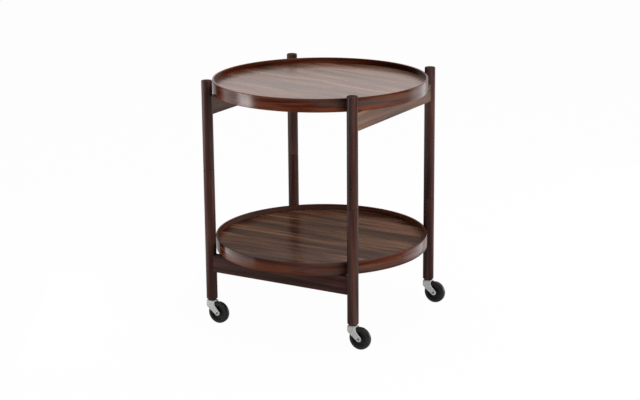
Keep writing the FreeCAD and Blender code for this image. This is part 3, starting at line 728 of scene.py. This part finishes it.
class TRAYTABLE_OT_castors(bpy.types.Operator):
    """Bend the castor forks, and turn their rivets, washers and sockets"""
    bl_idname = "traytable.castors"
    bl_label = "Castors"

    def execute(self, context):
        sizes = context.scene.tray_table_castors
        colours = context.scene.tray_table_finishes
        zinc = metal("fork_zinc", colours.zinc, metallic=0.35, rough=0.4)
        rivet_zinc = metal("rivet_zinc", colours.zinc, metallic=0.85, rough=0.3)
        washer_black = moulded("castor_washer_black", colours.black, rough=0.55, grey=(0.03, 0.03, 0.03))
        socket_black = metal("socket_black_oxide", (0.035, 0.034, 0.034), metallic=0.6, rough=0.45)
        for leg in LEGS:
            self.bend_fork(leg, sizes, zinc)
            self.roll_rivet(leg, sizes, rivet_zinc)
            lay_washer(f"{leg}_castor_washer", sizes.stem_hole, washer_black)
            self.turn_socket(leg, sizes, socket_black)
        return {"FINISHED"}

    @staticmethod
    def fork_edges(sizes, top, axle_height):
        """Lead and rear edges of an arm, from the fork's top to the foot of its round end, as x and z.

        Each edge goes down to its corner, turns there in an eased bend, runs on along the tangent to the
        round end, and follows that circle to its lowest point.
        """
        axle = np.array([sizes.trail, axle_height])
        lead = (-sizes.lead, sizes.lead_drop, sizes.shoulder, 1)
        rear = (sizes.rear, sizes.rear_drop, sizes.throat, -1)
        edges = []
        for reach, drop, ease, side in (lead, rear):
            corner = np.array([reach, top - drop])
            away = corner - axle
            angle = np.arctan2(away[1], away[0]) + side * np.arccos(sizes.arm_end / np.hypot(*away))
            touch = axle + sizes.arm_end * np.array([np.cos(angle), np.sin(angle)])
            run = (touch - corner) / np.linalg.norm(touch - corner)
            cut = ease * np.tan(np.arccos(-run[1]) / 2)
            line, _ = rounded([(reach, top), corner, touch], [0, cut, 0])
            bottom = np.pi * 1.5 if side == 1 else -np.pi / 2
            turn = np.linspace(angle, bottom, ARM_END_POINTS)[1:, None]
            arc = axle + sizes.arm_end * np.hstack([np.cos(turn), np.sin(turn)])
            edges.append(np.vstack([line, arc]))
        return edges

    def bend_fork(self, leg, sizes, material):
        """Fork: the middle of the sheet is followed up one arm, round the bends and down the other, and
        at each height it reaches from the lead edge to the rear edge. Below, each arm ends in a ring that
        reaches from the rivet's hole to the arm's edges. Solidify gives it all its thickness."""
        node = f"{leg}_castor_fork"
        low, high, _ = middle_of(node)
        swivel = middle_of(f"{leg}_castor_washer")[2]
        axle = np.array([sizes.trail, low[2] + sizes.arm_end])
        lead, rear = self.fork_edges(sizes, high[2], axle[1])
        half = (high[1] - low[1] - sizes.sheet) / 2
        bend = sizes.bend + sizes.sheet / 2
        crown = high[2] - sizes.sheet / 2
        ring_share = 1.25
        ring_top = axle[1] + ring_share * sizes.arm_end
        rise = np.linspace(ring_top, crown - bend, ARM_POINTS)
        arm = np.stack([np.full_like(rise, -half), rise], axis=1)
        turn = np.linspace(np.pi, np.pi / 2, BEND_POINTS)[1:, None]
        corner = np.array([bend - half, crown - bend]) + bend * np.hstack([np.cos(turn), np.sin(turn)])
        side = np.vstack([arm, corner])
        path = np.vstack([side, side[::-1] * (-1, 1)])
        across, upright = path[:, :1], path[:, 1:]
        start = np.interp(upright, lead[::-1, 1], lead[::-1, 0])
        end = np.interp(upright, rear[::-1, 1], rear[::-1, 0])
        x = start + (end - start) * np.linspace(0, 1, ACROSS_POINTS)
        grids = [np.stack([x, np.broadcast_to(across, x.shape), np.broadcast_to(upright, x.shape)], axis=-1)]
        row = np.stack([x[0], np.full_like(x[0], ring_top)], axis=1)
        lead_end, rear_end = (edge[edge[:, 1] < ring_top] for edge in (lead, rear))
        loop = np.vstack([row[-1:], rear_end, lead_end[-2::-1], row])
        outward = loop - axle
        hole = axle + outward * (sizes.axle_hole / 2 / np.linalg.norm(outward, axis=1, keepdims=True))
        share = np.linspace(0, 1, HOLE_RING_POINTS)[:, None, None]
        ring = hole * (1 - share) + loop * share
        for sideways in (-half, half):
            grids.append(np.stack([ring[..., 0], np.full(ring.shape[:2], sideways), ring[..., 1]], axis=-1))
        piece = skin(f"{node}_bent", [grid + np.array([swivel[0], swivel[1], 0]) for grid in grids])
        wall = piece.modifiers.new("Sheet", "SOLIDIFY")
        wall.thickness = sizes.sheet
        wall.offset = 0
        wall.use_even_offset = True
        edge = piece.modifiers.new("Edges", "BEVEL")
        edge.width = sizes.edge
        edge.segments = 2
        edge.limit_method = "ANGLE"
        edge.angle_limit = BEVEL_ANGLE
        stand_for(piece, node, material)

    @staticmethod
    def roll_rivet(leg, sizes, material):
        """Hollow rivet with rolled heads, turned about the axle, with painted shade in and round its bore."""
        node = f"{leg}_castor_axle"
        low, high, middle = middle_of(node)
        reach = high[1] - middle[1]
        inside = reach - sizes.rivet_head
        head = (high[0] - low[0]) / 2
        bore = sizes.rivet_bore / 2
        shank = sizes.rivet / 2
        roll_share = 0.7
        roll = roll_share * sizes.rivet_head
        upper = [(shank, inside), (head, inside), (head, reach), (bore, reach)]
        profile, _ = rounded(*both_sides(upper, [0, 0, roll, roll]), closed=True)
        # Painted shade: the bore and the inner part of the rolled lips are marked so that the hollow reads
        # dark.
        shade_and_grease = np.repeat(1.0 * (profile[:, :1] < bore + roll / 2), RIVET_STEPS + 1, axis=1)
        piece = skin(f"{node}_rivet", [turned(profile, RIVET_STEPS, middle, "Y")], [shade_and_grease])
        stand_for(piece, node, material)

    @staticmethod
    def turn_socket(leg, sizes, material):
        """Socket: a flange under the foot of the leg and a closed sleeve inside it."""
        node = f"{leg}_castor_socket"
        low, high, middle = middle_of(node)
        flange = high[0] - middle[0]
        foot = low[2] + sizes.flange
        sleeve = sizes.socket / 2
        bore = sizes.stem_hole / 2
        roof = high[2] - sizes.socket_wall
        corners = [
            (0, high[2]), (sleeve, high[2]), (sleeve, foot), (flange, foot), (flange, low[2]),
            (bore, low[2]), (bore, roof), (0, roof)]
        sleeve_ease, flange_ease, bore_ease = 0.5 * MM, 0.3 * MM, 0.2 * MM
        cuts = [0, sleeve_ease, 0, flange_ease, flange_ease, bore_ease, 0, 0]
        centre = (middle[0], middle[1], 0)
        piece = turned_piece(f"{node}_sleeve", corners, cuts, SMALL_RING_STEPS, centre)
        stand_for(piece, node, material)


class TRAYTABLE_OT_wheels(bpy.types.Operator):
    """Turn the wheel centres and mould the tyres"""
    bl_idname = "traytable.wheels"
    bl_label = "Wheels"

    def execute(self, context):
        sizes = context.scene.tray_table_castors
        colours = context.scene.tray_table_finishes
        hub_black = moulded("hub_plastic", colours.black, rough=0.45, grey=(0.03, 0.03, 0.031), shine=0.2)
        tyre_black = moulded("tyre_rubber", colours.black, rough=0.36, grey=(0.022, 0.022, 0.024), shine=0.3)
        for leg in LEGS:
            self.turn_hub(f"{leg}_wheel_hub", sizes, hub_black)
            self.mould_tyre(f"{leg}_wheel_tyre", sizes, tyre_black)
        return {"FINISHED"}

    @staticmethod
    def turn_hub(node, sizes, material):
        """Wheel centre: boss, recessed web and the rim that carries the tyre."""
        _, high, middle = middle_of(node)
        boss_end = high[1] - middle[1]
        rim = high[0] - middle[0]
        bore = sizes.axle_hole / 2
        boss = sizes.hub_boss / 2
        well = rim - sizes.hub_wall
        web = sizes.hub_web / 2
        side = sizes.hub_width / 2
        upper = [(bore, boss_end), (boss, boss_end), (boss, web), (well, web), (well, side), (rim, side)]
        bore_ease, edge_ease, web_ease, rim_ease = 0.2 * MM, 0.6 * MM, 0.9 * MM, 0.4 * MM
        cuts = [bore_ease, edge_ease, web_ease, web_ease, edge_ease, rim_ease]
        profile = both_sides(upper, cuts)
        piece = turned_piece(f"{node}_turned", *profile, HUB_STEPS, middle, "Y", closed=True)
        stand_for(piece, node, material)

    @staticmethod
    def mould_tyre(node, sizes, material):
        """Tyre: round shoulders, and a shallow moulded ring in each side wall."""
        _, high, middle = middle_of(node)
        outer = high[0] - middle[0]
        side = high[1] - middle[1]
        inner = sizes.tyre_inside / 2
        wall = outer - sizes.tyre_round - inner
        ring_inner = inner + wall / 4
        ring_outer = ring_inner + wall / 2
        ring_floor = side - sizes.tyre_ring
        upper = [
            (outer, side), (ring_outer, side), (ring_outer, ring_floor), (ring_inner, ring_floor),
            (ring_inner, side), (inner, side)]
        ease = sizes.tyre_ring / 2
        profile = both_sides(upper, [sizes.tyre_round] + [ease] * 5)
        piece = turned_piece(f"{node}_moulded", *profile, TYRE_STEPS, middle, "Y", closed=True)
        stand_for(piece, node, material)


class TRAYTABLE_OT_hardware(bpy.types.Operator):
    """Finish the hidden pins, stems and dowels, which keep the shape of their solids"""
    bl_idname = "traytable.hardware"
    bl_label = "Hidden hardware"

    def execute(self, context):
        colours = context.scene.tray_table_finishes
        steel = metal("pin_steel", colours.steel, metallic=1, rough=0.3)
        dowel_tones = [tuple(share * part for part in colours.dowel) for share in (0.75, 1, 1.15)]
        grains = {"lower": (0.1, 1, 1), "upper": (1, 0.1, 1)}
        shifts = {"lower": (0.5, 0.2, 0.9), "upper": (0.1, 0.6, 0.4)}
        beech = {
            tier: wood(f"dowel_beech_{tier}", dowel_tones, colours.dowel, grains[tier], shifts[tier],
                       gloss=0.6, shine=0.3)
            for tier in ("lower", "upper")}
        for leg in LEGS:
            self.coat(f"{leg}_pivot_pin", steel)
            self.coat(f"{leg}_castor_stem", steel)
        for rail in LOWER_RAILS + UPPER_RAILS:
            self.coat(f"{rail}_dowels", beech[rail.split("_")[0]])
        return {"FINISHED"}

    @staticmethod
    def coat(node, material):
        """Give a node that stays its material."""
        materials = frame["nodes"][node].data.materials
        materials.clear()
        materials.append(material)


class TRAYTABLE_OT_stage(bpy.types.Operator):
    """Set up the floor, the lights, the room and the camera"""
    bl_idname = "traytable.stage"
    bl_label = "Stage"

    def execute(self, context):
        stage = context.scene.tray_table_stage
        self.lay_floor(stage)
        self.light_room(context.scene, stage)
        for name, (place, size, aim_height, tint, spread) in LIGHTS.items():
            self.hang_light(name, place, size, aim_height, tint, spread, getattr(stage, f"{name}_power"))
        self.place_camera(context.scene, stage)
        context.scene.view_settings.view_transform = "Standard"
        return {"FINISHED"}

    @staticmethod
    def lay_floor(stage):
        """Pale floor: a square grid just under height 0, white where it is seen, with the table's shadow."""
        reach = np.linspace(-FLOOR_REACH, FLOOR_REACH, 5)
        x, y = np.meshgrid(reach, reach)
        floor = skin("studio_floor", [np.stack([x, y, np.full_like(x, -FLOOR_DROP)], axis=-1)])
        finish = new_finish("floor_white")
        paper = finish.node("ShaderNodeBsdfDiffuse", {}, {"Color": FLOOR_GREY})
        glow = finish.node("ShaderNodeEmission", {}, {"Color": (1, 1, 1, 1), "Strength": 1.0})
        camera, glossy, through = (finish.node("ShaderNodeLightPath", output=f"Is {kind} Ray")
                                   for kind in ("Camera", "Glossy", "Transmission"))
        share = camera * stage.floor_glow + (glossy + through).at_most(1.0) * stage.mirror_glow
        both = finish.node("ShaderNodeMixShader", {}, {0: share, 1: paper, 2: glow})
        finish.node("ShaderNodeOutputMaterial", {}, {"Surface": both})
        floor.data.materials.append(finish.owner)

    @staticmethod
    def light_room(scene, stage):
        """Room: white to the camera, soft light from above and a dim room below it."""
        scene.world = bpy.data.worlds.new("studio_room")
        finish = Finish(scene.world)
        camera = finish.node("ShaderNodeLightPath", output="Is Camera Ray")
        direction = finish.node("ShaderNodeTexCoord", output="Generated")
        rise = finish.node("ShaderNodeSeparateXYZ", {}, {0: direction}, output="Z")
        lit = stage.room + finish.fade(rise, *SKY_EDGE) * (stage.sky - stage.room)
        backdrop = finish.node("ShaderNodeBackground", {}, {
            "Color": (1, 1, 1, 1), "Strength": lit + camera * (1 - lit)})
        finish.node("ShaderNodeOutputWorld", {}, {"Surface": backdrop})

    @staticmethod
    def hang_light(name, place, size, aim_height, tint, spread, power):
        """Soft light of a width, height, colour and spread, which points at the table's axis."""
        lamp = bpy.data.lights.new(f"{name}_light", "AREA")
        lamp.shape = "RECTANGLE"
        lamp.size, lamp.size_y = size
        lamp.color = tint
        lamp.spread = spread
        lamp.energy = power
        light = bpy.data.objects.new(lamp.name, lamp)
        bpy.context.scene.collection.objects.link(light)
        light.location = place
        aim = light.location - Vector((0, 0, aim_height))
        light.rotation_euler = aim.to_track_quat("Z", "Y").to_euler()
        light.visible_camera = False
        light.visible_glossy = name not in NOT_MIRRORED

    @staticmethod
    def place_camera(scene, stage):
        """Camera without shift: heading, then pitch from level, then a slight roll."""
        lens = bpy.data.cameras.new("camera")
        lens.sensor_width = 36
        lens.sensor_fit = "HORIZONTAL"
        lens.lens = stage.lens
        camera = bpy.data.objects.new("camera", lens)
        scene.collection.objects.link(camera)
        pitch, roll, heading = stage.camera_turn
        camera.location = stage.camera_place
        turn = Matrix.Rotation(heading, 3, "Z") @ Matrix.Rotation(math.pi / 2 + pitch, 3, "X")
        camera.rotation_euler = (turn @ Matrix.Rotation(roll, 3, "Z")).to_euler()
        scene.camera = camera


class TRAYTABLE_PT_sidebar(bpy.types.Panel):
    """Sizes, colours and building steps of the tray table"""
    bl_label = "Tray Table"
    bl_space_type = "VIEW_3D"
    bl_region_type = "UI"
    bl_category = "Tray Table"

    def draw(self, context):
        for operator in OPERATORS:
            self.layout.operator(operator.bl_idname)
        for name, group in GROUPS.items():
            box = self.layout.box()
            for key in group.__annotations__:
                box.prop(getattr(context.scene, name), key)


GROUPS = {
    "tray_table_woodwork": TrayTableWoodwork,
    "tray_table_castors": TrayTableCastors,
    "tray_table_finishes": TrayTableFinishes,
    "tray_table_stage": TrayTableStage,
}
OPERATORS = (
    TRAYTABLE_OT_legs,
    TRAYTABLE_OT_rails,
    TRAYTABLE_OT_trays,
    TRAYTABLE_OT_castors,
    TRAYTABLE_OT_wheels,
    TRAYTABLE_OT_hardware,
    TRAYTABLE_OT_stage,
)
CLASSES = (*GROUPS.values(), *OPERATORS, TRAYTABLE_PT_sidebar)


def register():
    """Register the classes and hang their settings on the scene."""
    for item in CLASSES:
        bpy.utils.register_class(item)
    for name, group in GROUPS.items():
        setattr(bpy.types.Scene, name, bpy.props.PointerProperty(type=group))


def unregister():
    """Take the settings and the classes away again."""
    for name in GROUPS:
        delattr(bpy.types.Scene, name)
    for item in reversed(CLASSES):
        bpy.utils.unregister_class(item)


def main():
    """Build the table piece by piece."""
    register()
    bpy.ops.traytable.legs()
    bpy.ops.traytable.rails()
    bpy.ops.traytable.trays()
    bpy.ops.traytable.castors()
    bpy.ops.traytable.wheels()
    bpy.ops.traytable.hardware()
    bpy.ops.traytable.stage()
    bpy.context.view_layer.update()


if __name__ == "__main__":
    main()
